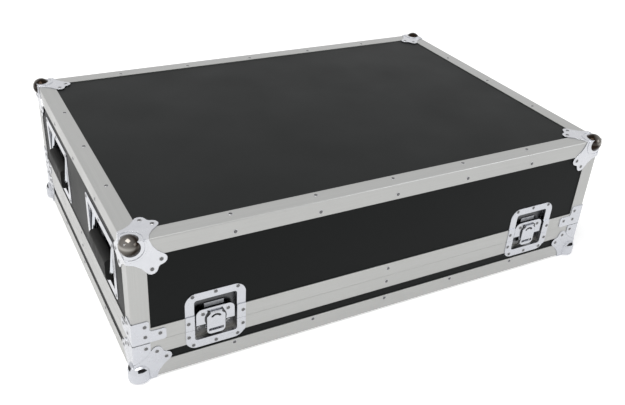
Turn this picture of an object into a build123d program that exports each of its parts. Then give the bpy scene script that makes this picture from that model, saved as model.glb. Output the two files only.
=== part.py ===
from build123d import *
from math import cos, pi, radians, sin, sqrt
import os

# Flight case for a mixing desk, closed, in millimetres. The front faces -Y, +Z is up, and z = 0 is the
# surface that the case stands on. Depths are counted inward from the outer face of the edging.

# Overall size over the edging
case_width = 947.0
case_depth = 651.0
base_height = 74.3
lid_height = 193.7
foot_drop = 2.7
seam_gap = 0.3

# Plywood panels, aluminium edging and foam lining
panel_thickness = 9.0
edging_thickness = 1.5
slot_clearance = 0.2
edge_width = 30.0
edge_rounding = 2.5
inner_leg = 13.0
mitre_gap = 0.2
foam_thickness = 12.0
foam_setback = 1.0
handle_pocket_depth = 17.0

# Groove rail of the base and tongue rail of the lid
base_rail_width = 26.7
lid_rail_width = 27.7
rail_inner_leg = 18.0
groove_depth = 8.0
tongue_width = 5.0
tongue_length = 7.4
tongue_clearance = 0.4

# Pressed corner plates, shared by the ball corners and the stacking corners
plate_thickness = 1.3
corner_skirt = 36.0
lobe_far = 53.0
lobe_near = 38.0
lobe_radius = 9.5
lobe_start = -60.0
lobe_end = 75.0
lobe_steps = 5
scallop_steps = 3
corner_inset = 9.5
ball_radius = 17.0
collar_radius = 23.5
collar_width = 3.5
collar_height = 1.0
collar_sides = 20

# Stacking corners: a barrel with a shallow cup that takes the ball of the case below
stacking_radius = 18.5
rim_outer = 12.8
rim_height = 3.6
barrel_height = 18.0
shoulder_radius = 15.2
shoulder_height = 9.6
dome_radius = 6.0
dome_height = 4.9
barrel_sides = 24
cup_mouth = 7.7
cup_depth = 1.8
cup_clearance = 0.5
slot_length = 16.0
slot_height = 7.0
slot_corner = 2.5
slot_level = 25.5
slot_offset = 12.0
slot_cut = 4.0

# Corner braces at the seam
brace_width = 28.0
brace_top = 43.7
brace_arm_reach = 55.0
brace_arm_top = 22.7
brace_bevel = 3.0
brace_seam_setback = 1.0
base_brace_low = 37.5
brace_gap = 0.3
brace_corner = 2.0

# Rivet heads
rivet_radius = 4.0
rivet_height = 1.1
rivet_taper = 35.0
rivet_pitch = 150.5
side_rivet_pitch = 150.0
rivet_setback = 20.5
base_rivet_level = 23.7
rivet_sides = 6
lid_rail_rivet = 16.7
base_rail_rivet = -12.3
brace_rivet_x = 20.5
lid_brace_rivet_heights = (13.7, 33.7)
brace_arm_rivet = (45.0, 14.7)
base_brace_rivet_height = -10.3

# Sides of the small round parts that repeat; a hole's sides clear the round part in it
rod_sides = 8
shaft_sides = 12
cam_sides = 16
hub_sides = 24

# Butterfly latches, whose heights are counted from the seam
latch_inset = 139.5
latch_width = 105.0
latch_above = 71.7
latch_below = 39.3
latch_rounding = 20.0
latch_opening_width = 74.0
latch_opening_above = 57.7
latch_opening_below = 22.3
latch_opening_rounding = 5.0
dish_thickness = 1.2
latch_dish_depth = 12.0
dish_clearance = 0.5
latch_axis = 13.0

# Latch mechanism
tab_half_width = 17.0
tab_low = 33.5
tab_height = 8.0
tab_front = 8.8
cover_depth = 1.6
cover_thickness = 1.2
cover_half_width = 33.5
cover_low = 4.7
cover_high = 35.2
cover_rounding = 11.0
hub_radius = 19.0
hub_front = 0.6
hub_thickness = 0.8
shaft_radius = 3.6
shaft_clearance = 0.08
cam_radius = 8.0
cam_throw = 4.0
cam_clearance = 1.2
hook_front = 3.0
hook_thickness = 1.8
hook_inward = 3.0
hook_half_width = 17.0
hook_nose_half_width = 13.0
hook_frame_low = -5.0
hook_frame_high = 24.0
hook_nose_low = -16.5
hook_nose_height = 5.0
hook_nose_depth = 7.4
cam_side_clearance = 0.5
keeper_low = -3.2
keeper_thickness = 2.0
keeper_front = 8.1
keeper_half_width = 15.0

# Folding wing
wing_hinge_rise = 14.0
wing_hinge_depth = -0.6
wing_thickness = 1.8
wing_half_width = 16.0
wing_neck_half_width = 10.0
wing_shoulder = 24.6
wing_widest = 19.0
wing_low = -16.5
wing_rounding = 8.0
wing_slot_half_width = 13.0
wing_slot_low = -10.5
wing_slot_height = 5.2
crescent_outer = 10.5
crescent_inner = 6.5
crescent_end_angle = 28.0
knuckle_radius = 1.9
pin_radius = 1.2
pin_clearance = 0.08
ear_thickness = 3.0
ear_gap = 0.4

# Recessed handles on the ends of the lid, whose heights are counted from the seam
handle_inset = 164.0
handle_centre = 91.7
handle_width = 180.0
handle_height = 112.0
handle_rounding = 10.0
handle_opening_width = 150.0
handle_opening_height = 82.0
handle_dish_depth = 16.0
pivot_drop = 11.0
pivot_depth = 7.5
bail_radius = 4.0
bail_half_width = 58.0
bail_bend = 4.5
bail_drop = 51.0
bail_reach = 5.5
bail_end_gap = 0.3
grip_half_length = 50.0
grip_height = 40.0
grip_thickness = 19.0
grip_rounding = 7.0
grip_rise = 2.0
spring_wire = 1.6
spring_gap = 0.4
spring_length = 8.2
spring_end_gap = 0.6

os.makedirs("parts", exist_ok=True)

base_floor = foot_drop
seam = base_floor + base_height
case_top = seam + lid_height
half_width = case_width / 2
half_depth = case_depth / 2
panel_back = edging_thickness + panel_thickness
inner_leg_face = panel_back + slot_clearance
liner_face = inner_leg_face + edging_thickness
foam_face = liner_face + foam_thickness
panel_edge = liner_face + slot_clearance
rail_block = groove_depth + edging_thickness
base_panel_top = seam - seam_gap / 2 - rail_block
lid_panel_bottom = seam + seam_gap / 2 + edging_thickness
latch_x = latch_inset - half_width
handle_y = handle_inset - half_depth
pan_half_width = latch_opening_width / 2 + dish_thickness
cut_half_width = pan_half_width + dish_clearance
cut_above = latch_opening_above + dish_thickness + dish_clearance
cut_below = latch_opening_below + dish_thickness + dish_clearance
handle_cut_width = handle_opening_width + 2 * (dish_thickness + dish_clearance)
handle_cut_height = handle_opening_height + 2 * (dish_thickness + dish_clearance)
flips = {
    "front_left": [],
    "front_right": [Plane.YZ],
    "back_left": [Plane.XZ],
    "back_right": [Plane.YZ, Plane.XZ],
}


def front_plane(depth, x=0.0, z=0.0):
    """A plane parallel to the front, facing out, with sketch x to the right and sketch y up."""
    return Plane(origin=(x, depth - half_depth, z), x_dir=(1, 0, 0), z_dir=(0, -1, 0))


def left_plane(depth, y=0.0, z=0.0):
    """A plane parallel to the left end, facing out, with sketch x to the front and sketch y up."""
    return Plane(origin=(depth - half_width, y, z), x_dir=(0, -1, 0), z_dir=(-1, 0, 0))


def finish(builder, name):
    """Label a finished piece and write its file."""
    builder.part.label = name
    export_step(builder.part, f"parts/{name}.step")


def four_fold():
    """Repeat the front left piece at the other three places."""
    mirror(about=Plane.YZ)
    mirror(about=Plane.XZ)


def send_to(place):
    """Move the front left piece to another of the four places."""
    for plane in flips[place]:
        mirror(about=plane, mode=Mode.REPLACE)


# Plywood panels

def box_between(x_range, y_range, z_range, mode=Mode.ADD):
    """A box given by its low and high sides."""
    centre = [(low + high) / 2 for low, high in (x_range, y_range, z_range)]
    size = [high - low for low, high in (x_range, y_range, z_range)]
    with Locations(tuple(centre)):
        Box(*size, mode=mode)


def both_ways(half):
    return (-half, half)


def latch_cut(low, high, depth, back=False):
    """Notches for the two latches of the front, or of the back."""
    y_range = (-half_depth - edge_width, depth - half_depth)
    if back:
        y_range = (half_depth - depth, half_depth + edge_width)
    for side in (-1, 1):
        x_range = (side * latch_x - cut_half_width, side * latch_x + cut_half_width)
        box_between(x_range, y_range, (low, high), Mode.SUBTRACT)


def flat_panel(name, outer, direction):
    """A horizontal panel, held in the channels of the edge angles."""
    with BuildPart() as panel:
        z_range = sorted((outer + direction * edging_thickness, outer + direction * panel_back))
        box_between(both_ways(half_width - panel_edge), both_ways(half_depth - panel_edge), z_range)
    finish(panel, name)


def long_panel(name, z_range, side, cut_range):
    """A front or back panel with the notches of its two latches."""
    with BuildPart() as panel:
        y_range = (edging_thickness - half_depth, panel_back - half_depth)
        box_between(both_ways(half_width - panel_edge), y_range, z_range)
        latch_cut(*cut_range, foam_face)
        if side > 0:
            mirror(about=Plane.XZ, mode=Mode.REPLACE)
    finish(panel, name)


def end_panel(name, z_range, side, with_handles):
    """A left or right panel, with cut-outs for its handles on the lid."""
    with BuildPart() as panel:
        x_range = (edging_thickness - half_width, panel_back - half_width)
        box_between(x_range, both_ways(half_depth - panel_edge), z_range)
        if with_handles:
            with BuildSketch(left_plane(edging_thickness, 0, seam + handle_centre)):
                with Locations((-handle_y, 0), (handle_y, 0)):
                    Rectangle(handle_cut_width, handle_cut_height)
            extrude(amount=-panel_thickness, mode=Mode.SUBTRACT)
        if side > 0:
            mirror(about=Plane.YZ, mode=Mode.REPLACE)
    finish(panel, name)


base_walls = (base_floor + panel_edge, base_panel_top)
lid_walls = (lid_panel_bottom, case_top - panel_edge)
base_cut = (seam - cut_below, seam + edge_width)
lid_cut = (seam - edge_width, seam + cut_above)
flat_panel("base_bottom_panel", base_floor, 1)
flat_panel("lid_top_panel", case_top, -1)
long_panel("base_front_panel", base_walls, -1, base_cut)
long_panel("base_back_panel", base_walls, 1, base_cut)
long_panel("lid_front_panel", lid_walls, -1, lid_cut)
long_panel("lid_back_panel", lid_walls, 1, lid_cut)
end_panel("base_left_panel", base_walls, -1, with_handles=False)
end_panel("base_right_panel", base_walls, 1, with_handles=False)
end_panel("lid_left_panel", lid_walls, -1, with_handles=True)
end_panel("lid_right_panel", lid_walls, 1, with_handles=True)


# Aluminium edging

def ring(s_range, z_range, mode=Mode.ADD):
    """One leg of an extrusion all round the case, between two depths and two levels."""
    with BuildSketch(Plane.XY.offset(z_range[0])) as outline:
        Rectangle(case_width - 2 * s_range[0], case_depth - 2 * s_range[0])
        Rectangle(case_width - 2 * s_range[1], case_depth - 2 * s_range[1], mode=Mode.SUBTRACT)
    extrude(outline.sketch, amount=z_range[1] - z_range[0], mode=mode)


def mitres(low, high):
    """Cut a ring into its four bars."""
    diagonal = 4 * edge_width
    height = high - low
    for i in (-1, 1):
        for j in (-1, 1):
            turn = 45.0 * i * j
            with Locations(Location((i * half_width, j * half_depth, (low + high) / 2), (0, 0, turn))):
                Box(diagonal, mitre_gap, height + edge_width, mode=Mode.SUBTRACT)


def edge_angles(name, outer, direction):
    """Four double angles around the top or the bottom: outer legs, hollow corner and inner legs."""

    def levels(low, high):
        return sorted((outer + direction * low, outer + direction * high))

    leg_end = liner_face + inner_leg
    with BuildPart() as edges:
        ring((0, edge_width), levels(0, edging_thickness))
        ring((0, edging_thickness), levels(0, edge_width))
        ring((edging_thickness, liner_face), levels(edging_thickness, liner_face))
        ring((edging_thickness, inner_leg_face), levels(edging_thickness, inner_leg_face), Mode.SUBTRACT)
        ring((liner_face, leg_end), levels(inner_leg_face, liner_face))
        ring((inner_leg_face, liner_face), levels(liner_face, leg_end))
        outline = edges.edges().filter_by_position(Axis.Z, outer - 0.01, outer + 0.01)
        ends = (case_width, case_depth)
        rims = [edge for edge in outline if any(abs(edge.length - end) < 0.01 for end in ends)]
        fillet(rims, radius=edge_rounding)
        mitres(*levels(0, edge_width))
    finish(edges, name)


def corner_posts(name, low, high):
    """Four upright double angles between the edge angles and the rails."""
    leg_end = liner_face + inner_leg
    with BuildPart() as posts:
        with BuildSketch(Plane.XY.offset(low)):
            with Locations((-half_width, -half_depth)):
                Rectangle(edge_width, edging_thickness, align=Align.MIN)
                Rectangle(edging_thickness, edge_width, align=Align.MIN)
                Rectangle(liner_face, liner_face, align=Align.MIN)
            with Locations((liner_face - half_width, inner_leg_face - half_depth)):
                Rectangle(inner_leg, edging_thickness, align=Align.MIN)
            with Locations((inner_leg_face - half_width, liner_face - half_depth)):
                Rectangle(edging_thickness, inner_leg, align=Align.MIN)
            hollow = inner_leg_face - edging_thickness
            with Locations((edging_thickness - half_width, edging_thickness - half_depth)):
                Rectangle(hollow, hollow, align=Align.MIN, mode=Mode.SUBTRACT)
        extrude(amount=high - low)
        corner = posts.edges().filter_by(Axis.Z).sort_by_distance((-half_width, -half_depth, low))[0]
        fillet(corner, radius=edge_rounding)
        four_fold()
    finish(posts, name)


groove_middle = liner_face / 2
groove_half = tongue_width / 2 + tongue_clearance
base_rail_top = seam - seam_gap / 2
lid_rail_bottom = seam + seam_gap / 2

with BuildPart() as base_groove_rails:
    ring((0, edging_thickness), (seam - base_rail_width, base_rail_top))
    ring((inner_leg_face, liner_face), (seam - rail_inner_leg, base_rail_top))
    ring((0, liner_face), (base_rail_top - rail_block, base_rail_top))
    groove = (groove_middle - groove_half, groove_middle + groove_half)
    ring(groove, (base_rail_top - groove_depth, base_rail_top), Mode.SUBTRACT)
    mitres(seam - base_rail_width, base_rail_top)
    latch_cut(*base_cut, foam_face)
    latch_cut(*base_cut, foam_face, back=True)
finish(base_groove_rails, "base_groove_rails")

with BuildPart() as lid_tongue_rails:
    ring((0, edging_thickness), (lid_rail_bottom, seam + lid_rail_width))
    ring((inner_leg_face, liner_face), (lid_rail_bottom, seam + rail_inner_leg))
    ring((0, liner_face), (lid_rail_bottom, lid_rail_bottom + edging_thickness))
    tongue = (groove_middle - tongue_width / 2, groove_middle + tongue_width / 2)
    ring(tongue, (base_rail_top - tongue_length, lid_rail_bottom + edging_thickness))
    mitres(base_rail_top - tongue_length, seam + lid_rail_width)
    latch_cut(*lid_cut, foam_face)
    latch_cut(*lid_cut, foam_face, back=True)
finish(lid_tongue_rails, "lid_tongue_rails")

edge_angles("base_bottom_edges", base_floor, 1)
edge_angles("lid_top_edges", case_top, -1)
corner_posts("base_corner_posts", base_floor + edge_width, seam - base_rail_width)
corner_posts("lid_corner_posts", seam + lid_rail_width, case_top - edge_width)


# Pressed corners

def lobe_rim(centre, radius):
    """Points round the rim of a lobe, from its inner side to its outer side."""
    turn = (lobe_end - lobe_start) / lobe_steps
    angles = [radians(lobe_start + step * turn) for step in range(lobe_steps + 1)]
    return [(centre[0] + radius * cos(angle), centre[1] + radius * sin(angle)) for angle in angles]


def scallop(start, pull, end):
    """Points of a hollow curve between two ends, pulled towards a third point."""
    shares = [step / scallop_steps for step in range(1, scallop_steps)]
    return [
        tuple((1 - t) ** 2 * a + 2 * t * (1 - t) * b + t**2 * c for a, b, c in zip(start, pull, end))
        for t in shares
    ]


def corner_outline(plane, grow=0.0):
    """One face of a corner plate: a skirt along both edges, three scallops and two riveted lobes."""
    skirt = (corner_skirt + grow, 0)
    rim = lobe_rim((lobe_far, lobe_near), lobe_radius + grow)
    side = scallop(skirt, (corner_skirt + lobe_radius / 2 + grow, lobe_near / 2), rim[0])
    valley = (lobe_far + lobe_near + lobe_radius / 2) / 2 + grow
    middle = scallop(rim[-1], (valley, valley), rim[-1][::-1])
    half = [(corner_skirt + grow, -plate_thickness), skirt, *side, *rim]
    with BuildSketch(plane) as face:
        with BuildLine():
            back = [(y, x) for x, y in reversed(half)]
            Polyline((-plate_thickness, -plate_thickness), *half, *middle, *back, close=True)
        make_face()
    return face.sketch


def corner_planes(level, upward):
    """The three outer faces at the front left corner: horizontal, front and left."""
    corner = (-half_width, -half_depth, level)
    if upward:
        return (
            Plane(corner, x_dir=(1, 0, 0), z_dir=(0, 0, 1)),
            Plane(corner, x_dir=(0, 0, -1), z_dir=(0, -1, 0)),
            Plane(corner, x_dir=(0, 1, 0), z_dir=(-1, 0, 0)),
        )
    return (
        Plane(corner, x_dir=(0, 1, 0), z_dir=(0, 0, -1)),
        Plane(corner, x_dir=(1, 0, 0), z_dir=(0, -1, 0)),
        Plane(corner, x_dir=(0, 0, 1), z_dir=(-1, 0, 0)),
    )


def case_block(level, upward):
    """Cut away what lies inside the outer faces of the case."""
    x_range = (-half_width, 0)
    y_range = (-half_depth, 0)
    z_range = (level - lid_height, level) if upward else (level, level + lid_height)
    box_between(x_range, y_range, z_range, Mode.SUBTRACT)


with BuildPart() as ball_corners:
    for plane in corner_planes(case_top, True):
        extrude(corner_outline(plane), amount=plate_thickness)
        with BuildSketch(plane) as collar:
            with Locations((corner_inset, corner_inset)):
                RegularPolygon(collar_radius, collar_sides)
                RegularPolygon(collar_radius - collar_width, collar_sides, mode=Mode.SUBTRACT)
            Rectangle(2 * collar_radius, 2 * collar_radius, align=Align.MIN, mode=Mode.INTERSECT)
        extrude(collar.sketch, amount=plate_thickness + collar_height)
    with Locations((corner_inset - half_width, corner_inset - half_depth, case_top - corner_inset)):
        Sphere(ball_radius)
    case_block(case_top, True)
    four_fold()
finish(ball_corners, "ball_corners")

cup_axis = (corner_inset - half_width, corner_inset - half_depth)
cup_bottom = sqrt((ball_radius + cup_clearance) ** 2 - cup_mouth**2) / 5
barrel_levels = [
    (0, rim_outer),
    (rim_height, stacking_radius),
    (base_floor + barrel_height, stacking_radius),
    (base_floor + barrel_height + shoulder_height, shoulder_radius),
    (base_floor + barrel_height + shoulder_height + dome_height, dome_radius),
]

with BuildPart() as stacking_corners:
    for plane in corner_planes(base_floor, False):
        extrude(corner_outline(plane), amount=plate_thickness)
    for level, radius in barrel_levels:
        with BuildSketch(Plane((*cup_axis, level))):
            RegularPolygon(radius, barrel_sides)
    loft(ruled=True)
    case_block(base_floor, False)
    proud = stacking_radius - corner_inset
    for plane in corner_planes(base_floor, False)[1:]:
        upright = plane.x_dir.Z > 0.5
        with BuildSketch(plane.offset(proud - slot_cut)) as slot:
            with Locations((slot_level, slot_offset) if upright else (slot_offset, slot_level)):
                Rectangle(slot_length, slot_height, rotation=90 if upright else 0)
            chamfer(slot.vertices(), length=slot_corner)
        extrude(amount=slot_cut + proud, mode=Mode.SUBTRACT)
    for level, radius in ((0, cup_mouth), (cup_depth, cup_bottom)):
        with BuildSketch(Plane((*cup_axis, level))):
            RegularPolygon(radius, barrel_sides)
    loft(ruled=True, mode=Mode.SUBTRACT)
    four_fold()
finish(stacking_corners, "stacking_corners")


# Corner braces at the seam

def brace_angle(low, high, reach):
    """An upright angle of sheet round the front left corner, between two heights above the seam."""
    corner = (-half_width - plate_thickness, -half_depth - plate_thickness)
    with BuildSketch(Plane.XY.offset(seam + low)) as plan:
        with Locations(corner):
            Rectangle(reach + plate_thickness, reach + plate_thickness, align=Align.MIN)
        fillet(plan.vertices().sort_by_distance((*corner, 0))[0], radius=brace_corner)
        with Locations((-half_width, -half_depth)):
            Rectangle(reach + plate_thickness, reach + plate_thickness, align=Align.MIN, mode=Mode.SUBTRACT)
    extrude(plan.sketch, amount=high - low)


with BuildPart() as lid_corner_braces:
    brace_angle(brace_seam_setback, brace_arm_top, brace_arm_reach)
    brace_angle(brace_arm_top, brace_top, brace_width)
    small = [edge for edge in lid_corner_braces.edges() if abs(edge.length - plate_thickness) < 0.01]
    chamfer(small, length=brace_bevel)
    four_fold()
finish(lid_corner_braces, "lid_corner_braces")

with BuildPart() as base_corner_braces:
    brace_angle(-base_brace_low, -brace_seam_setback, brace_width)
    for plane in corner_planes(base_floor, False)[1:]:
        extrude(corner_outline(plane, brace_gap), amount=plate_thickness, mode=Mode.SUBTRACT)
    four_fold()
finish(base_corner_braces, "base_corner_braces")


# Foam lining

with BuildPart() as base_foam_floor:
    floor_range = (base_floor + liner_face, base_floor + foam_face)
    box_between(both_ways(half_width - liner_face), both_ways(half_depth - liner_face), floor_range)
finish(base_foam_floor, "base_foam_floor")

with BuildPart() as lid_foam_roof:
    roof_range = (case_top - foam_face, case_top - liner_face)
    box_between(both_ways(half_width - liner_face), both_ways(half_depth - liner_face), roof_range)
finish(lid_foam_roof, "lid_foam_roof")

with BuildPart() as base_foam_walls:
    ring((liner_face, foam_face), (base_floor + foam_face, base_rail_top - foam_setback))
finish(base_foam_walls, "base_foam_walls")

with BuildPart() as lid_foam_walls:
    ring((liner_face, foam_face), (lid_rail_bottom + foam_setback, case_top - foam_face))
    for side in (-1, 1):
        x_range = sorted((side * (half_width - liner_face), side * (half_width - handle_pocket_depth)))
        for end in (-1, 1):
            y_range = (end * handle_y - handle_cut_width / 2, end * handle_y + handle_cut_width / 2)
            z_middle = seam + handle_centre
            z_range = (z_middle - handle_cut_height / 2, z_middle + handle_cut_height / 2)
            box_between(x_range, y_range, z_range, Mode.SUBTRACT)
finish(lid_foam_walls, "lid_foam_walls")


# Butterfly latches: dishes, keeper and cover

latch_middle = (latch_above - latch_below) / 2
opening_middle = (latch_opening_above - latch_opening_below) / 2
pan_front = edging_thickness - dish_thickness
pan_floor = latch_dish_depth - dish_thickness


def latch_plane(depth):
    """The plane of the front left latch at a depth, with its origin on the seam."""
    return front_plane(depth, latch_x, seam)


def flange_strip(heights, depths):
    """The part of the latch flange between two heights, as a sheet between two depths."""
    with BuildSketch(latch_plane(depths[1])) as sheet:
        with Locations((0, latch_middle)):
            RectangleRounded(latch_width, latch_above + latch_below, latch_rounding)
        with Locations((0, (heights[0] + heights[1]) / 2)):
            Rectangle(2 * latch_width, heights[1] - heights[0], mode=Mode.INTERSECT)
    extrude(sheet.sketch, amount=depths[1] - depths[0])


def latch_opening(depth):
    """The outline of the opening of the pan."""
    opening_height = latch_opening_above + latch_opening_below
    with BuildSketch(latch_plane(depth)) as outline:
        with Locations((0, opening_middle)):
            RectangleRounded(latch_opening_width, opening_height, latch_opening_rounding)
    return outline.sketch


def latch_block(x_half, heights, depths, mode=Mode.ADD):
    """A box in the middle of the front left latch."""
    box_between(
        (latch_x - x_half, latch_x + x_half),
        (depths[0] - half_depth, depths[1] - half_depth),
        (seam + heights[0], seam + heights[1]),
        mode,
    )


def dish_body(rail_end, outer_end, cut_side):
    """Flange with its step over the rail, and the pan, on one side of the seam."""
    step = rail_end + (dish_thickness if rail_end > 0 else -dish_thickness)
    pan_heights = (-latch_opening_below - dish_thickness, latch_opening_above + dish_thickness)
    latch_block(pan_half_width, pan_heights, (0, latch_dish_depth))
    latch_block(latch_width, sorted((step, 2 * outer_end)), (-dish_thickness, pan_front), Mode.SUBTRACT)
    flange_strip(sorted((0, step)), (-dish_thickness, 0))
    flange_strip(sorted((rail_end, step)), (-dish_thickness, edging_thickness))
    flange_strip(sorted((rail_end, outer_end)), (pan_front, edging_thickness))
    extrude(latch_opening(pan_floor), amount=latch_dish_depth + dish_thickness, mode=Mode.SUBTRACT)
    latch_block(latch_width, cut_side, (-edge_width, edge_width), Mode.SUBTRACT)


def lower_dish(place):
    with BuildPart() as dish:
        dish_body(-base_rail_width, -latch_below, (-seam_gap / 2, 2 * latch_above))
        latch_block(
            keeper_half_width,
            (keeper_low, keeper_low + keeper_thickness),
            (keeper_front, pan_floor + dish_thickness / 2),
        )
        send_to(place)
    finish(dish, f"lower_dish_{place}")


def upper_dish(place):
    with BuildPart() as dish:
        dish_body(lid_rail_width, latch_above, (-2 * latch_below, seam_gap / 2))
        latch_block(tab_half_width, (tab_low, tab_low + tab_height), (tab_front, pan_floor + dish_thickness / 2))
        send_to(place)
    finish(dish, f"upper_dish_{place}")


with BuildPart() as latch_covers:
    with BuildSketch(latch_plane(cover_depth + cover_thickness)) as cover_face:
        with Locations((0, (cover_low + cover_high) / 2)):
            Rectangle(2 * cover_half_width, cover_high - cover_low)
        fillet(cover_face.vertices().sort_by(Axis.Y)[-2:], radius=cover_rounding)
        with Locations((0, latch_axis)):
            RegularPolygon(shaft_radius + shaft_clearance, shaft_sides, major_radius=False, mode=Mode.SUBTRACT)
    extrude(amount=cover_thickness)
    for side in (-1, 1):
        wall = (cover_half_width - cover_thickness, cover_half_width)
        x_range = sorted((latch_x + side * wall[0], latch_x + side * wall[1]))
        y_range = (cover_depth + cover_thickness / 2 - half_depth, pan_floor - half_depth)
        box_between(x_range, y_range, (seam + cover_low, seam + cover_high - cover_rounding))
    four_fold()
finish(latch_covers, "latch_covers")


# Butterfly latches: turner, hook and folding wing

wing_hinge_height = latch_axis + wing_hinge_rise
wing_faces = (wing_hinge_depth - wing_thickness / 2, wing_hinge_depth + wing_thickness / 2)
hub_back = hub_front + hub_thickness
ear_radius = knuckle_radius
ear_inner = wing_neck_half_width + ear_gap
cam_height = latch_axis - cam_throw
cam_back = hook_front + hook_thickness + hook_inward + cam_clearance / 6


def latch_rod(x_range, radius, mode=Mode.ADD):
    """A bar on the axis of the wing hinge, or a hole for one, between two distances from the middle."""
    start = (latch_x + x_range[0], wing_hinge_depth - half_depth, seam + wing_hinge_height)
    with BuildSketch(Plane(start, x_dir=(0, 1, 0), z_dir=(1, 0, 0))) as section:
        RegularPolygon(radius, rod_sides, major_radius=mode == Mode.ADD)
    extrude(section.sketch, amount=x_range[1] - x_range[0], mode=mode)


def turner_piece(place):
    with BuildPart() as turner:
        with BuildSketch(latch_plane(hub_back)):
            with Locations((0, latch_axis)):
                RegularPolygon(hub_radius, hub_sides)
            with Locations((0, wing_hinge_height - ear_radius - ear_gap)):
                notch_align = (Align.CENTER, Align.MIN)
                Rectangle(2 * ear_inner, hub_radius, align=notch_align, mode=Mode.SUBTRACT)
        extrude(amount=hub_thickness)
        for ear in ((-ear_inner - ear_thickness, -ear_inner), (ear_inner, ear_inner + ear_thickness)):
            latch_rod(ear, ear_radius)
            latch_rod(ear, pin_radius + pin_clearance, Mode.SUBTRACT)
        with BuildSketch(latch_plane(hook_front)):
            with Locations((0, latch_axis)):
                RegularPolygon(shaft_radius, shaft_sides)
        extrude(amount=hook_front - hub_back)
        with BuildSketch(latch_plane(cam_back)):
            with Locations((0, cam_height)):
                RegularPolygon(cam_radius, cam_sides)
        extrude(amount=cam_back - hook_front)
        send_to(place)
    finish(turner, f"turner_{place}")


def hook_piece(place):
    with BuildPart() as hook:
        plate = (hook_front, hook_front + hook_thickness)
        latch_block(hook_half_width, (hook_frame_low, hook_frame_high), plate)
        latch_block(hook_nose_half_width, (hook_nose_low, hook_frame_low), plate)
        nose = (hook_nose_low, hook_nose_low + hook_nose_height)
        latch_block(hook_nose_half_width, nose, (hook_front, hook_nose_depth))
        window = (cam_height - cam_radius - cam_clearance, cam_height + cam_radius + cam_clearance)
        window_half = cam_radius + cam_throw + cam_side_clearance
        latch_block(window_half, window, (0, hook_nose_depth), Mode.SUBTRACT)
        send_to(place)
    finish(hook, f"hook_{place}")


def wing_piece(place):
    with BuildPart() as wing:
        with BuildSketch(latch_plane(wing_faces[1])) as face:
            right = (
                (wing_neck_half_width, wing_hinge_height),
                (wing_neck_half_width, wing_shoulder),
                (wing_half_width, wing_widest),
                (wing_half_width, wing_low),
            )
            with BuildLine():
                Polyline(*right, *[(-x, y) for x, y in reversed(right)], close=True)
            make_face()
            fillet(face.vertices().sort_by(Axis.Y)[:2], radius=wing_rounding)
            with Locations((0, wing_slot_low + wing_slot_height / 2)):
                Rectangle(2 * wing_slot_half_width, wing_slot_height, mode=Mode.SUBTRACT)
            with BuildLine():
                sweep_angle = 180 - 2 * crescent_end_angle
                outer_arc = CenterArc((0, latch_axis), crescent_outer, crescent_end_angle, sweep_angle)
                inner_arc = CenterArc((0, latch_axis), crescent_inner, crescent_end_angle, sweep_angle)
                Line(outer_arc @ 0, inner_arc @ 0)
                Line(outer_arc @ 1, inner_arc @ 1)
            make_face(mode=Mode.SUBTRACT)
        extrude(amount=wing_thickness)
        latch_rod(both_ways(wing_neck_half_width), knuckle_radius)
        latch_rod(both_ways(ear_inner + ear_thickness - ear_gap), pin_radius)
        send_to(place)
    finish(wing, f"wing_{place}")


# Recessed spring handles on the ends of the lid

pivot_height = handle_centre + handle_opening_height / 2 - pivot_drop
pan_side = handle_opening_width / 2 + dish_thickness


def handle_plane(depth):
    """The plane of the front left handle at a depth, with its origin at the middle of the dish."""
    return left_plane(depth, handle_y, seam + handle_centre)


def handle_rod(y_range, radius, mode=Mode.ADD):
    """A bar on the pivot axis of the front left handle, or a hole for one."""
    start = (pivot_depth - half_width, handle_y + y_range[0], seam + pivot_height)
    with BuildSketch(Plane(start, x_dir=(1, 0, 0), z_dir=(0, 1, 0))) as section:
        RegularPolygon(radius, rod_sides, major_radius=mode == Mode.ADD)
    extrude(section.sketch, amount=y_range[1] - y_range[0], mode=mode)


with BuildPart() as handle_dishes:
    with BuildSketch(handle_plane(edging_thickness)):
        RectangleRounded(handle_width, handle_height, handle_rounding)
    extrude(amount=dish_thickness)
    with BuildSketch(handle_plane(handle_dish_depth)):
        Rectangle(2 * pan_side, handle_opening_height + 2 * dish_thickness)
    extrude(amount=handle_dish_depth - pan_front)
    with BuildSketch(handle_plane(handle_dish_depth - dish_thickness)):
        Rectangle(handle_opening_width, handle_opening_height)
    extrude(amount=handle_dish_depth, mode=Mode.SUBTRACT)
    for side in (-1, 1):
        wall = sorted((side * (pan_side - 2 * dish_thickness), side * (pan_side + dish_thickness)))
        handle_rod(wall, bail_radius + shaft_clearance, Mode.SUBTRACT)
    four_fold()
finish(handle_dishes, "handle_dishes")

with BuildPart() as handle_springs:
    spring_end = handle_opening_width / 2 - spring_end_gap
    for side in (-1, 1):
        sleeve = sorted((side * (spring_end - spring_length), side * spring_end))
        handle_rod(sleeve, bail_radius + spring_gap + spring_wire)
        handle_rod(sleeve, bail_radius + spring_gap, Mode.SUBTRACT)
    four_fold()
finish(handle_springs, "handle_springs")


def bail_piece(place):
    with BuildPart() as bail:
        lean = Vector(bail_reach, 0, bail_drop)
        pivot = (pivot_depth - half_width, handle_y, seam + pivot_height)
        bail_plane = Plane(pivot, x_dir=(0, 1, 0), z_dir=Vector(0, 1, 0).cross(lean))
        end = pan_side - bail_end_gap
        half_path = [
            (end, 0),
            (bail_half_width + bail_bend, 0),
            (bail_half_width, -bail_bend),
            (bail_half_width, bail_bend - lean.length),
            (bail_half_width - bail_bend, -lean.length),
        ]
        with BuildLine(bail_plane) as path:
            Polyline(*half_path, *[(-x, y) for x, y in reversed(half_path)])
        with BuildSketch(Plane(path.line @ 0, x_dir=(1, 0, 0), z_dir=path.line % 0)):
            RegularPolygon(bail_radius, rod_sides)
        sweep(path=path.line, transition=Transition.RIGHT)
        send_to(place)
    finish(bail, f"bail_{place}")


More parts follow.
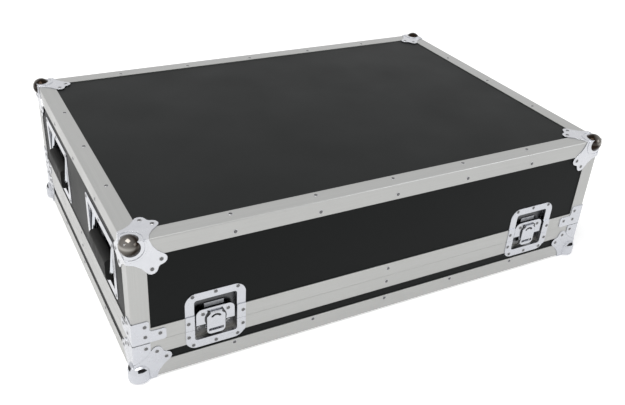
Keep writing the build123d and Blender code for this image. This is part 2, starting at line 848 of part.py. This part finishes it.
def grip_piece(place):
    with BuildPart() as grip:
        rod_x = pivot_depth - bail_reach - half_width
        rod_z = seam + pivot_height - bail_drop
        end = handle_y + grip_half_length
        with BuildSketch(Plane((rod_x, end, rod_z), x_dir=(1, 0, 0), z_dir=(0, -1, 0))):
            with Locations((0, grip_rise)):
                RectangleRounded(grip_thickness, grip_height, grip_rounding)
            RegularPolygon(bail_radius + shaft_clearance, rod_sides, major_radius=False, mode=Mode.SUBTRACT)
        extrude(amount=2 * grip_half_length)
        send_to(place)
    finish(grip, f"grip_{place}")


for place in flips:
    lower_dish(place)
    upper_dish(place)
    turner_piece(place)
    hook_piece(place)
    wing_piece(place)
    bail_piece(place)
    grip_piece(place)


# Rivets

def rivet_heads(plane, places):
    """Tapered rivet heads standing on a plane."""
    with BuildSketch(plane) as heads:
        with Locations(*places):
            RegularPolygon(rivet_radius, rivet_sides)
    extrude(heads.sketch, amount=rivet_height, taper=rivet_taper)


def flange_rivets(level, upright_level, outward):
    """Rivets along the edge angles: on their horizontal legs, then on their upright legs."""
    long_run = [-2 * rivet_pitch, -rivet_pitch, 0]
    short_run = [-side_rivet_pitch, 0]
    turn = -1 if outward < 0 else 1
    horizontal = Plane((0, 0, level), x_dir=(1, 0, 0), z_dir=(0, 0, outward))
    across = [(x, turn * (rivet_setback - half_depth)) for x in long_run]
    along = [(rivet_setback - half_width, turn * y) for y in short_run]
    rivet_heads(horizontal, across + along)
    rivet_heads(front_plane(0), [(x, upright_level) for x in long_run])
    rivet_heads(left_plane(0), [(-y, upright_level) for y in short_run])


def brace_rivets(places):
    """Rivets on both legs of the front left brace, by distance from the corner and height."""
    rivet_heads(front_plane(-plate_thickness), [(x - half_width, seam + z) for x, z in places])
    rivet_heads(left_plane(-plate_thickness), [(half_depth - y, seam + z) for y, z in places])


def corner_rivets(level, upward):
    """Two rivets on the lobes of each face of a corner plate."""
    for plane in corner_planes(level, upward):
        lobes = [(lobe_far, lobe_near), (lobe_near, lobe_far)]
        rivet_heads(plane.offset(plate_thickness), lobes)


upper_latch_rivets = [(-39.5, 66.7), (0, 67.7), (38.5, 66.7)]
rail_latch_rivets = [(-47.5, 15.7), (47.5, 15.7)]
lower_rail_rivets = [(-47.5, -12.3), (47.5, -12.3)]
lower_latch_rivets = [(-39.5, -32.2), (0, -33.4), (38.5, -32.2)]
cover_rivets = [(-22, 26), (22, 26)]
floor_rivets = [(-26, -9), (26, -9)]

with BuildPart() as lid_rivets:
    flange_rivets(case_top, case_top - rivet_setback, 1)
    corner_rivets(case_top, True)
    brace_rivets([(brace_rivet_x, height) for height in lid_brace_rivet_heights] + [brace_arm_rivet])
    rivet_heads(front_plane(0), [(0, seam + lid_rail_rivet)])
    rivet_heads(left_plane(0), [(0, seam + lid_rail_rivet)])
    rivet_heads(latch_plane(pan_front), upper_latch_rivets)
    rivet_heads(latch_plane(-dish_thickness), rail_latch_rivets)
    rivet_heads(latch_plane(cover_depth), cover_rivets)
    x_places = (handle_width + handle_opening_width) / 4
    y_places = (handle_height + handle_opening_height) / 4
    handle_places = [(i * x_places, j * y_places) for i in (-1, 1) for j in (-1, 1)]
    handle_places += [(0, y_places), (0, -y_places)]
    rivet_heads(handle_plane(pan_front), handle_places)
    four_fold()
finish(lid_rivets, "lid_rivets")

with BuildPart() as base_rivets:
    flange_rivets(base_floor, base_floor + base_rivet_level, -1)
    corner_rivets(base_floor, False)
    brace_rivets([(brace_rivet_x, base_brace_rivet_height)])
    rivet_heads(front_plane(0), [(0, seam + base_rail_rivet)])
    rivet_heads(left_plane(0), [(0, seam + base_rail_rivet)])
    rivet_heads(latch_plane(-dish_thickness), lower_rail_rivets)
    rivet_heads(latch_plane(pan_front), lower_latch_rivets)
    rivet_heads(latch_plane(pan_floor), floor_rivets)
    four_fold()
finish(base_rivets, "base_rivets")
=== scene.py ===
import bpy
import bmesh
import math
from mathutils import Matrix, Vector


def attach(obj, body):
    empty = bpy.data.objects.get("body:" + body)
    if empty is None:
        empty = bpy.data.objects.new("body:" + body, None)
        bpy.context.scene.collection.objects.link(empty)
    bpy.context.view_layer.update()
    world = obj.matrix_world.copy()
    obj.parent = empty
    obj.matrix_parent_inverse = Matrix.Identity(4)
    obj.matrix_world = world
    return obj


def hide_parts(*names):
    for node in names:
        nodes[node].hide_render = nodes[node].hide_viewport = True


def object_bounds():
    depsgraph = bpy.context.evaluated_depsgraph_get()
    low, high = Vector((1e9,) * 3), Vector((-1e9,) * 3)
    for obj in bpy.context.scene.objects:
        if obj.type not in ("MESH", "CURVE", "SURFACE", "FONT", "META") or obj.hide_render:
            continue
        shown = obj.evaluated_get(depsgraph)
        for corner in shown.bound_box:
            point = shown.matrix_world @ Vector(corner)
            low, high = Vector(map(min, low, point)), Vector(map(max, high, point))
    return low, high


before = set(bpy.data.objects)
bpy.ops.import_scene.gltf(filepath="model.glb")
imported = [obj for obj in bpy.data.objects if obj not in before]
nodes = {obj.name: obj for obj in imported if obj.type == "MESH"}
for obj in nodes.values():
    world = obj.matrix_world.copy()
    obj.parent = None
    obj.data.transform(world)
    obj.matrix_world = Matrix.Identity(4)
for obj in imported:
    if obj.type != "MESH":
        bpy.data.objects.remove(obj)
cad_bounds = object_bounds()
scene = bpy.context.scene

# Places on the part, in metres, for the materials that change from place to place: where they paint
# shade, highlights and reflection
HALF_WIDTH, HALF_DEPTH, LID_TOP = 0.4735, 0.3255, 0.2707
SEAM = 0.077
CORNER_INSET = 0.0095
BALL_MIDDLE = (HALF_WIDTH - CORNER_INSET, HALF_DEPTH - CORNER_INSET, LID_TOP - CORNER_INSET)
BALL_RADIUS = 0.017
SLOT_LEVEL, SLOT_FROM_CORNER = 0.0282, 0.0120
LATCH_TAB_DEPTH = 0.0088

# Colours that more than one material uses
ZINC_DULL, ZINC_BRIGHT = (0.46, 0.47, 0.50), (0.55, 0.562, 0.598)


# Materials. Texture space is the object's own frame in metres, so a scale of 1000 means 1 mm.

class Shader:
    """A node material with a Principled shader and a few short ways to add nodes to it."""

    def __init__(self, name, **sockets):
        self.material = bpy.data.materials.new(name)
        self.material.use_nodes = True
        self.tree = self.material.node_tree
        self.main = self.tree.nodes["Principled BSDF"]
        for key, value in sockets.items():
            self.main.inputs[key.replace("_", " ")].default_value = value
        self.space = self.tree.nodes.new("ShaderNodeTexCoord").outputs["Object"]

    def node(self, kind, **values):
        """A new node; each value is set on its property or else on its input socket."""
        made = self.tree.nodes.new(kind)
        for key, value in values.items():
            if hasattr(made, key):
                setattr(made, key, value)
            else:
                made.inputs[key.replace("_", " ")].default_value = value
        return made

    def link(self, output, target):
        self.tree.links.new(output, target)

    def stretched(self, scale):
        mapping = self.node("ShaderNodeMapping")
        mapping.inputs["Scale"].default_value = scale
        self.link(self.space, mapping.inputs["Vector"])
        return mapping.outputs["Vector"]

    def noise(self, scale, detail=2.0, rough=0.5, stretch=None):
        made = self.node("ShaderNodeTexNoise", Scale=scale, Detail=detail, Roughness=rough)
        self.link(self.stretched(stretch) if stretch else self.space, made.inputs["Vector"])
        return made.outputs["Fac"]

    def ramp(self, value, low, high, start=0.0, end=1.0):
        made = self.node("ShaderNodeMapRange")
        made.inputs["From Min"].default_value = low
        made.inputs["From Max"].default_value = high
        made.inputs["To Min"].default_value = start
        made.inputs["To Max"].default_value = end
        self.link(value, made.inputs["Value"])
        return made.outputs["Result"]

    def spread(self, noise, start, end):
        """Most of a noise lies between 0.3 and 0.7; this spreads it from start to end."""
        return self.ramp(noise, 0.3, 0.7, start, end)

    def mix(self, factor, first, second):
        made = self.node("ShaderNodeMix", data_type="RGBA")
        self.link(factor, made.inputs["Factor"])
        for value, socket in ((first, made.inputs[6]), (second, made.inputs[7])):
            if isinstance(value, tuple):
                socket.default_value = (*value, 1.0)
            else:
                self.link(value, socket)
        return made.outputs[2]

    def maths(self, operation, first, second=0.0):
        made = self.node("ShaderNodeMath", operation=operation)
        for value, socket in ((first, made.inputs[0]), (second, made.inputs[1])):
            if isinstance(value, (int, float)):
                socket.default_value = value
            else:
                self.link(value, socket)
        return made.outputs[0]

    def product(self, first, second):
        return self.maths("MULTIPLY", first, second)

    def total(self, first, *others):
        for other in others:
            first = self.maths("ADD", first, other)
        return first

    def coordinate(self, name):
        split = self.node("ShaderNodeSeparateXYZ")
        self.link(self.space, split.inputs["Vector"])
        return split.outputs[name]

    def from_middle(self, name):
        """The distance from the middle of the case along X or Y, either way."""
        return self.maths("ABSOLUTE", self.coordinate(name))

    def away(self, value, level):
        """How far a value is from a level, either way."""
        return self.maths("ABSOLUTE", self.maths("SUBTRACT", value, level))

    def bump(self, height, distance, strength, before=None):
        made = self.node("ShaderNodeBump", Strength=strength, Distance=distance)
        self.link(height, made.inputs["Height"])
        if before is not None:
            self.link(before, made.inputs["Normal"])
        self.link(made.outputs["Normal"], self.main.inputs["Normal"])

    def soft_edges(self, radius):
        made = self.node("ShaderNodeBevel", samples=4)
        made.inputs["Radius"].default_value = radius
        return made.outputs["Normal"]

    def colour(self, output):
        self.link(output, self.main.inputs["Base Color"])

    def roughness(self, output):
        self.link(output, self.main.inputs["Roughness"])


def laminate():
    """Matt black laminate: a fine pebble, slow patches of sheen and a few hairline scuffs."""
    s = Shader("laminate", Roughness=0.5, Specular_IOR_Level=0.08)
    patches = s.noise(7.0, 3.0)
    pebble = s.noise(1500.0)
    scuffs = s.ramp(s.noise(60.0, 5.0, 0.7, (1.0, 9.0, 3.0)), 0.72, 0.78)
    body = s.mix(patches, (0.0072, 0.0084, 0.0086), (0.0102, 0.0110, 0.0110))
    s.colour(s.mix(s.product(scuffs, 0.25), body, (0.05, 0.05, 0.049)))
    s.roughness(s.total(s.spread(patches, 0.43, 0.52), s.spread(pebble, -0.04, 0.04)))
    s.bump(pebble, 0.00004, 0.6)
    return s.material


def satin_aluminium(s, lines):
    """Satin anodised aluminium, with die lines along the bar and faint handling marks."""
    cloud = s.noise(11.0, 4.0, 0.6)
    rub = s.ramp(s.noise(240.0, 4.0, 0.65), 0.62, 0.75)
    body = s.mix(lines, (0.365, 0.367, 0.362), (0.46, 0.462, 0.455))
    s.colour(s.mix(s.product(rub, 0.5), body, (0.32, 0.32, 0.315)))
    s.roughness(s.total(s.spread(cloud, 0.30, 0.40), s.spread(lines, -0.03, 0.05)))
    s.bump(lines, 0.00003, 0.5, s.soft_edges(0.0006))
    return s.material


def die_lines(s, stretch):
    return s.noise(1.0, 3.0, 0.6, stretch)


def posts():
    """Upright bars: their die lines all run along Z."""
    s = Shader("anodised_posts", Metallic=1.0, Roughness=0.36)
    return satin_aluminium(s, die_lines(s, (900.0, 900.0, 6.0)))


def bars():
    """The level edging: its die lines follow the bar that each point lies on."""
    s = Shader("anodised_edging", Metallic=1.0, Roughness=0.36)
    along_x = die_lines(s, (6.0, 900.0, 900.0))
    along_y = die_lines(s, (900.0, 6.0, 900.0))
    high = cad_bounds[1]
    from_end = s.maths("SUBTRACT", high[0], s.from_middle("X"))
    from_front = s.maths("SUBTRACT", high[1], s.from_middle("Y"))
    chosen = s.node("ShaderNodeMix")
    s.link(s.maths("LESS_THAN", from_end, from_front), chosen.inputs["Factor"])
    s.link(along_x, chosen.inputs[2])
    s.link(along_y, chosen.inputs[3])
    return satin_aluminium(s, chosen.outputs[0])


def pan_colour_with_painted_shade(s, cloud, plate, axis, face):
    """Plate painted darker with its depth behind the face of the case, as painted shade in the pan; the
    shade is darker above the seam than below it. The latch's tab is left out of the painted shade and
    made mostly non-metallic, so that it shows lighter.
    """
    outward = s.from_middle(axis)
    off_tab = s.ramp(s.away(outward, face - LATCH_TAB_DEPTH), 0.0002, 0.0004)
    # Painted shade that deepens into the pan, everywhere but on the latch's tab
    painted_depth_shade = s.product(s.ramp(outward, face - 0.002, face - 0.008), off_tab)
    below = s.ramp(s.coordinate("Z"), SEAM - 0.010, SEAM - 0.022)
    # Colours of the painted shade: darker above the seam, lighter below it
    upper = s.mix(cloud, (0.035, 0.036, 0.038), (0.13, 0.132, 0.138))
    lower = s.mix(cloud, (0.16, 0.155, 0.145), (0.50, 0.49, 0.47))
    # The tab is made mostly non-metallic so that it shows lighter than the shaded pan
    s.link(s.ramp(off_tab, 0.0, 1.0, 0.25, 1.0), s.main.inputs["Metallic"])
    return s.mix(painted_depth_shade, plate, s.mix(below, upper, lower))


def zinc(name="zinc_plate", tint=ZINC_BRIGHT, rough=0.27, pan=None):
    """Zinc plate: bluish, slightly uneven, with small rubbed spots. A pan has an axis and a face, and
    gets painted shade with its depth.
    """
    s = Shader(name, Metallic=1.0, Roughness=rough)
    cloud = s.noise(45.0, 4.0, 0.6)
    fleck = s.ramp(s.noise(700.0, 3.0, 0.6), 0.60, 0.72)
    dark = tuple(0.88 * c for c in tint)
    plate = s.mix(s.product(fleck, 0.35), s.mix(cloud, dark, tint), (0.46, 0.47, 0.49))
    s.colour(pan_colour_with_painted_shade(s, cloud, plate, *pan) if pan else plate)
    s.roughness(s.spread(cloud, rough - 0.06, rough + 0.09))
    s.bump(cloud, 0.0002, 0.25, s.soft_edges(0.0005))
    return s.material


def stacking_corner():
    """Zinc plate, with painted shade: dark inside each slot that is cut into the barrel."""
    s = Shader("stacking_corner_plate", Metallic=1.0, Roughness=0.27)
    cloud = s.noise(45.0, 4.0, 0.6)
    level = s.ramp(s.away(s.coordinate("Z"), SLOT_LEVEL), 0.0038, 0.0034)
    past_end = s.maths("SUBTRACT", s.from_middle("X"), HALF_WIDTH)
    past_front = s.maths("SUBTRACT", s.from_middle("Y"), HALF_DEPTH)
    painted_slot_shade = []
    for along, outward in ((past_end, past_front), (past_front, past_end)):
        within = s.ramp(s.away(along, -SLOT_FROM_CORNER), 0.0084, 0.0080)
        cut = s.product(within, s.ramp(outward, 0.0046, 0.0049))
        painted_slot_shade.append(s.product(cut, level))
    plate = s.mix(cloud, ZINC_DULL, ZINC_BRIGHT)
    # Painted shade: the slot floors are coloured nearly black
    s.colour(s.mix(s.maths("MAXIMUM", *painted_slot_shade), plate, (0.016, 0.016, 0.017)))
    s.roughness(s.spread(cloud, 0.21, 0.36))
    s.bump(cloud, 0.0002, 0.25, s.soft_edges(0.0009))
    return s.material


def ball_corner():
    """Zinc on the plates; on the polished ball, painted reflection: dark at its rim, lighter where it
    faces outward, with a lighter painted band.
    """
    s = Shader("ball_corner_plate", Metallic=1.0, Roughness=0.12)
    cloud = s.noise(60.0, 3.0, 0.5)
    places = (s.from_middle("X"), s.from_middle("Y"), s.coordinate("Z"))
    offsets = [s.maths("SUBTRACT", place, middle) for place, middle in zip(places, BALL_MIDDLE)]
    distance = s.maths("SQRT", s.total(*[s.product(offset, offset) for offset in offsets]))
    on_ball = s.ramp(distance, BALL_RADIUS + 0.0009, BALL_RADIUS + 0.0003)
    most_outward = 1.732 * BALL_RADIUS
    # Painted light: the ball is lighter where it faces outward
    facing_painted_light = s.ramp(s.total(*offsets), 0.45 * most_outward, 0.98 * most_outward)
    band = s.ramp(s.away(offsets[2], 0.0035), 0.0040, 0.0010)
    # Painted reflection: dark at the ball's rim, lighter towards its outward side
    rim = s.mix(facing_painted_light, (0.016, 0.011, 0.008), (0.19, 0.178, 0.165))
    # Painted highlight: a lighter band round the ball a little above its middle
    ball = s.mix(s.product(band, s.ramp(facing_painted_light, 0.0, 1.0, 0.1, 0.8)), rim, (0.40, 0.385, 0.36))
    s.colour(s.mix(on_ball, s.mix(cloud, (0.53, 0.538, 0.57), (0.62, 0.63, 0.66)), ball))
    s.roughness(s.mix(on_ball, s.spread(cloud, 0.18, 0.30), s.spread(cloud, 0.07, 0.11)))
    s.bump(cloud, 0.0003, 0.12, s.soft_edges(0.0007))
    return s.material


def small_metal(name, grain, low, high, rough, polish):
    """Small plated parts, between two greys."""
    s = Shader(name, Metallic=1.0, Roughness=rough)
    cloud = s.noise(grain, 3.0, 0.6)
    s.colour(s.mix(cloud, low, high))
    s.roughness(s.spread(cloud, *polish))
    return s.material


def rubber():
    """Black moulded rubber, dusty and slightly paler where hands rub it."""
    s = Shader("grip_rubber", Roughness=0.62, Specular_IOR_Level=0.16)
    cloud = s.noise(55.0, 4.0, 0.6)
    s.colour(s.mix(cloud, (0.009, 0.009, 0.009), (0.019, 0.019, 0.0185)))
    s.roughness(s.spread(cloud, 0.52, 0.72))
    s.bump(s.noise(2600.0), 0.00005, 0.6)
    return s.material


def foam():
    """Charcoal polyurethane foam with open cells, painted darker in the cell hollows as shade."""
    s = Shader("foam_lining", Roughness=0.95, Specular_IOR_Level=0.15, Sheen_Weight=0.25)
    cells = s.node("ShaderNodeTexVoronoi", Scale=750.0)
    s.link(s.space, cells.inputs["Vector"])
    skin = s.mix(s.noise(9.0, 4.0, 0.6), (0.034, 0.034, 0.036), (0.05, 0.05, 0.053))
    depth = s.ramp(cells.outputs["Distance"], 0.0, 0.7)
    # Painted shade: the cell hollows are darker than the foam's skin
    s.colour(s.mix(depth, (0.012, 0.012, 0.013), skin))
    s.bump(depth, 0.0005, 0.8)
    return s.material


LAMINATE = laminate()
POSTS = posts()
BARS = bars()
ZINC = zinc()
# The pans of the latches and handles carry painted shade that deepens into them
LATCH_PAN_PAINTED_SHADE = zinc("latch_dish_painted_shade", pan=("Y", HALF_DEPTH))
HANDLE_PAN_PAINTED_SHADE = zinc("handle_dish_painted_shade", pan=("X", HALF_WIDTH))
BAIL = zinc("bail_plate", (0.60, 0.62, 0.66), 0.22)
# The turner is painted dark all over, as the shade it sits in behind the wing
TURNER_PAINTED_SHADE = zinc("turner_in_painted_shade", (0.07, 0.07, 0.072), 0.34)
STACKING_CORNER = stacking_corner()
BALL_CORNER = ball_corner()
# The rivet domes are painted dark, standing in for shade and dark reflections on the heads; the rims keep
# a lighter plated tone
RIVET_DOME_PAINTED_DARK = small_metal(
    "rivet_heads", 300.0, (0.06, 0.06, 0.062), (0.20, 0.20, 0.205), 0.24, (0.18, 0.36)
)
RIVET_RIM = small_metal(
    "rivet_rims", 300.0, (0.42, 0.425, 0.44), (0.60, 0.605, 0.62), 0.24, (0.18, 0.36)
)
SPRING = small_metal(
    "spring_wire", 500.0, (0.30, 0.30, 0.31), (0.45, 0.45, 0.46), 0.3, (0.22, 0.4)
)
RUBBER = rubber()
FOAM = foam()

# The first word that a node's name contains says its material.
MATERIAL_BY_WORD = (
    ("panel", LAMINATE),
    ("corner_posts", POSTS),
    ("edges", BARS),
    ("rails", BARS),
    ("ball_corners", BALL_CORNER),
    ("stacking_corners", STACKING_CORNER),
    ("turner", TURNER_PAINTED_SHADE),
    ("bail", BAIL),
    ("grip", RUBBER),
    ("foam", FOAM),
    ("rivets", RIVET_DOME_PAINTED_DARK),
    ("handle_springs", SPRING),
    ("_dish_", LATCH_PAN_PAINTED_SHADE),
    ("handle_dishes", HANDLE_PAN_PAINTED_SHADE),
    ("", ZINC),
)

for name, node in nodes.items():
    node.data.materials.clear()
    node.data.materials.append(next(material for word, material in MATERIAL_BY_WORD if word in name))


# Pieces made here

def new_piece(name, body, mesh, material, smooth=True):
    piece = bpy.data.objects.new(name, mesh)
    scene.collection.objects.link(piece)
    mesh.materials.append(material)
    if smooth:
        for face in mesh.polygons:
            face.use_smooth = True
    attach(piece, body)
    return piece


def loose_parts(mesh):
    """The separate parts of a mesh, each as a list of its points."""
    shape = bmesh.new()
    shape.from_mesh(mesh)
    bmesh.ops.remove_doubles(shape, verts=shape.verts, dist=1e-6)
    left = set(shape.verts)
    parts = []
    for first in shape.verts:
        if first not in left:
            continue
        left.discard(first)
        stack, part = [first], [first.co.copy()]
        while stack:
            for edge in stack.pop().link_edges:
                for vert in edge.verts:
                    if vert in left:
                        left.discard(vert)
                        stack.append(vert)
                        part.append(vert.co.copy())
        parts.append(part)
    shape.free()
    return parts


def box_of(points):
    low = Vector([min(p[i] for p in points) for i in range(3)])
    high = Vector([max(p[i] for p in points) for i in range(3)])
    return low, high


def rivet_seat(part):
    """The middle of a rivet's foot, its radius, its height and the way that it points."""
    low, high = box_of(part)
    size = high - low
    axis = min(range(3), key=lambda i: size[i])
    middle = (low + high) / 2
    at_low = max((p - middle).length for p in part if p[axis] < middle[axis])
    at_high = max((p - middle).length for p in part if p[axis] > middle[axis])
    out = Vector((0, 0, 0))
    out[axis] = 1.0 if at_low > at_high else -1.0
    foot = middle.copy()
    foot[axis] = low[axis] if out[axis] > 0 else high[axis]
    return foot, max(size) / 2, size[axis], out


# Each ring of a rivet head, from its foot up: share of the radius, share of the height
RIVET_PROFILE = (
    (1.0, 0.0), (1.0, 0.22), (0.93, 0.34), (0.80, 0.40), (0.72, 0.62), (0.5, 0.86), (0.25, 0.97),
)
RIVET_SIDES = 14
RIVET_RIM_BANDS = 3


def domed_rivets(node, body):
    """Pressed heads with a flat rim and a shallow dome, in place of the plain heads."""
    shape = bmesh.new()
    for part in loose_parts(nodes[node].data):
        foot, radius, height, out = rivet_seat(part)
        side = out.orthogonal().normalized()
        other = out.cross(side)
        rings = []
        for reach, rise in RIVET_PROFILE:
            ring = []
            for k in range(RIVET_SIDES):
                turn = 2 * math.pi * k / RIVET_SIDES
                arm = side * math.cos(turn) + other * math.sin(turn)
                ring.append(shape.verts.new(foot + arm * radius * reach + out * height * rise))
            rings.append(ring)
        for band, (lower, upper) in enumerate(zip(rings, rings[1:])):
            for k in range(RIVET_SIDES):
                n = (k + 1) % RIVET_SIDES
                face = shape.faces.new((lower[k], lower[n], upper[n], upper[k]))
                # Rim bands take the lighter plated tone; the dome takes the painted dark
                face.material_index = int(band < RIVET_RIM_BANDS)
        shape.faces.new(rings[-1])
        shape.faces.new(rings[0][::-1])
    mesh = bpy.data.meshes.new(body + "_rivet_heads")
    shape.normal_update()
    shape.to_mesh(mesh)
    shape.free()
    piece = new_piece(body + "_rivet_heads", body, mesh, RIVET_DOME_PAINTED_DARK)
    mesh.materials.append(RIVET_RIM)
    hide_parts(node)


domed_rivets("lid_rivets", "lid")
domed_rivets("base_rivets", "base")

COIL_TURNS, COIL_STEPS = 3.5, 16
COIL_WIRE_RADIUS, COIL_INSET = 0.00075, 0.0008


def coil_springs():
    """Wound springs round the ends of the handle bails, in place of the plain sleeves."""
    curve = bpy.data.curves.new("handle_coils", "CURVE")
    curve.dimensions = "3D"
    curve.bevel_depth = COIL_WIRE_RADIUS
    curve.bevel_resolution = 2
    count = int(COIL_TURNS * COIL_STEPS)
    for part in loose_parts(nodes["handle_springs"].data):
        low, high = box_of(part)
        middle = (low + high) / 2
        radius = (high.x - low.x) / 2 - COIL_INSET
        length = high.y - low.y - 2 * COIL_INSET
        line = curve.splines.new("POLY")
        line.points.add(count)
        for k, point in enumerate(line.points):
            turn = 2 * math.pi * k / COIL_STEPS
            x = middle.x + radius * math.cos(turn)
            z = middle.z + radius * math.sin(turn)
            point.co = (x, low.y + COIL_INSET + length * k / count, z, 1.0)
    holder = bpy.data.objects.new("handle_coils_curve", curve)
    scene.collection.objects.link(holder)
    bpy.context.view_layer.update()
    mesh = bpy.data.meshes.new_from_object(holder)
    bpy.data.objects.remove(holder)
    piece = new_piece("handle_coils", "lid", mesh, SPRING)
    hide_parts("handle_springs")


coil_springs()

FOAM_ARRIS = 0.0025


def foam_board(name, node, body):
    """Foam lining with soft arrises, cut from the same block as the plain board."""
    mesh = nodes[node].data.copy()
    mesh.name = name
    mesh.materials.clear()
    piece = new_piece(name, body, mesh, FOAM, smooth=False)
    shape = bmesh.new()
    shape.from_mesh(mesh)
    bmesh.ops.remove_doubles(shape, verts=shape.verts, dist=1e-6)
    bmesh.ops.dissolve_limit(shape, angle_limit=0.01, verts=shape.verts, edges=shape.edges)
    sharp = [edge for edge in shape.edges if edge.calc_face_angle(0.0) > 0.5]
    bmesh.ops.bevel(shape, geom=sharp, offset=FOAM_ARRIS, segments=3, affect="EDGES", profile=0.6)
    shape.to_mesh(mesh)
    shape.free()
    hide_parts(node)


foam_board("floor_foam", "base_foam_floor", "base")
foam_board("base_wall_foam", "base_foam_walls", "base")
foam_board("roof_foam", "lid_foam_roof", "lid")
foam_board("lid_wall_foam", "lid_foam_walls", "lid")


# Stage, light and camera

WHITE = (1.0, 1.0, 1.0, 1.0)
FLOOR_REACH, FLOOR_GLOW = 14.0, 0.42
SKY_ON_SURFACES, SKY_SEEN = 0.55, 1.0


def floor_material():
    """Pale floor that keeps the shadow; seen by eye or in a reflection, it glows towards white."""
    s = Shader("pale_floor", Roughness=0.9, Base_Color=(0.86, 0.86, 0.86, 1.0), Specular_IOR_Level=0.1)
    s.main.inputs["Emission Color"].default_value = WHITE
    path = s.node("ShaderNodeLightPath")
    seen = s.maths("MAXIMUM", path.outputs["Is Camera Ray"], path.outputs["Is Glossy Ray"])
    s.link(s.product(seen, FLOOR_GLOW), s.main.inputs["Emission Strength"])
    return s.material


def make_floor():
    mesh = bpy.data.meshes.new("floor")
    r, level = FLOOR_REACH, cad_bounds[0][2]
    mesh.from_pydata([(-r, -r, level), (r, -r, level), (r, r, level), (-r, r, level)], [], [(0, 1, 2, 3)])
    mesh.materials.append(floor_material())
    floor = bpy.data.objects.new("floor", mesh)
    scene.collection.objects.link(floor)


def make_sky():
    """A plain sky: white where it is seen, reflected or seen through, and softer as a light."""
    world = bpy.data.worlds.new("studio")
    scene.world = world
    world.use_nodes = True
    tree = world.node_tree
    path = tree.nodes.new("ShaderNodeLightPath")
    seen = path.outputs["Is Camera Ray"]
    for ray in ("Is Glossy Ray", "Is Transmission Ray"):
        either = tree.nodes.new("ShaderNodeMath")
        either.operation = "MAXIMUM"
        tree.links.new(seen, either.inputs[0])
        tree.links.new(path.outputs[ray], either.inputs[1])
        seen = either.outputs[0]
    level = tree.nodes.new("ShaderNodeMapRange")
    level.inputs["To Min"].default_value = SKY_ON_SURFACES
    level.inputs["To Max"].default_value = SKY_SEEN
    tree.links.new(seen, level.inputs["Value"])
    background = tree.nodes["Background"]
    background.inputs["Color"].default_value = WHITE
    tree.links.new(level.outputs["Result"], background.inputs["Strength"])


def lamp(name, place, size, power, colour):
    """A rectangular lamp that is turned to the middle of the case."""
    light = bpy.data.lights.new(name, "AREA")
    light.shape = "RECTANGLE"
    light.size, light.size_y = size
    light.energy = power
    light.color = colour
    holder = bpy.data.objects.new(name, light)
    scene.collection.objects.link(holder)
    holder.location = place
    toward = Vector((0.0, 0.0, 0.15)) - Vector(place)
    holder.rotation_euler = toward.to_track_quat("-Z", "Y").to_euler()


make_floor()
make_sky()
lamp("key", (-0.9, -0.4, 2.6), (1.8, 1.4), 42.0, (1.0, 0.99, 0.97))
lamp("fill", (1.9, -2.2, 1.5), (1.6, 1.2), 14.0, (0.96, 0.98, 1.0))

camera = bpy.data.cameras.new("camera")
camera.sensor_fit = "HORIZONTAL"
camera.sensor_width = 36.0
camera.lens = 44.126
viewer = bpy.data.objects.new("camera", camera)
scene.collection.objects.link(viewer)
viewer.location = (-0.691825, -1.240267, 0.905567)
viewer.rotation_euler = tuple(math.radians(a) for a in (58.9419, -3.383, -27.7797))
scene.camera = viewer
scene.view_settings.view_transform = "Standard"
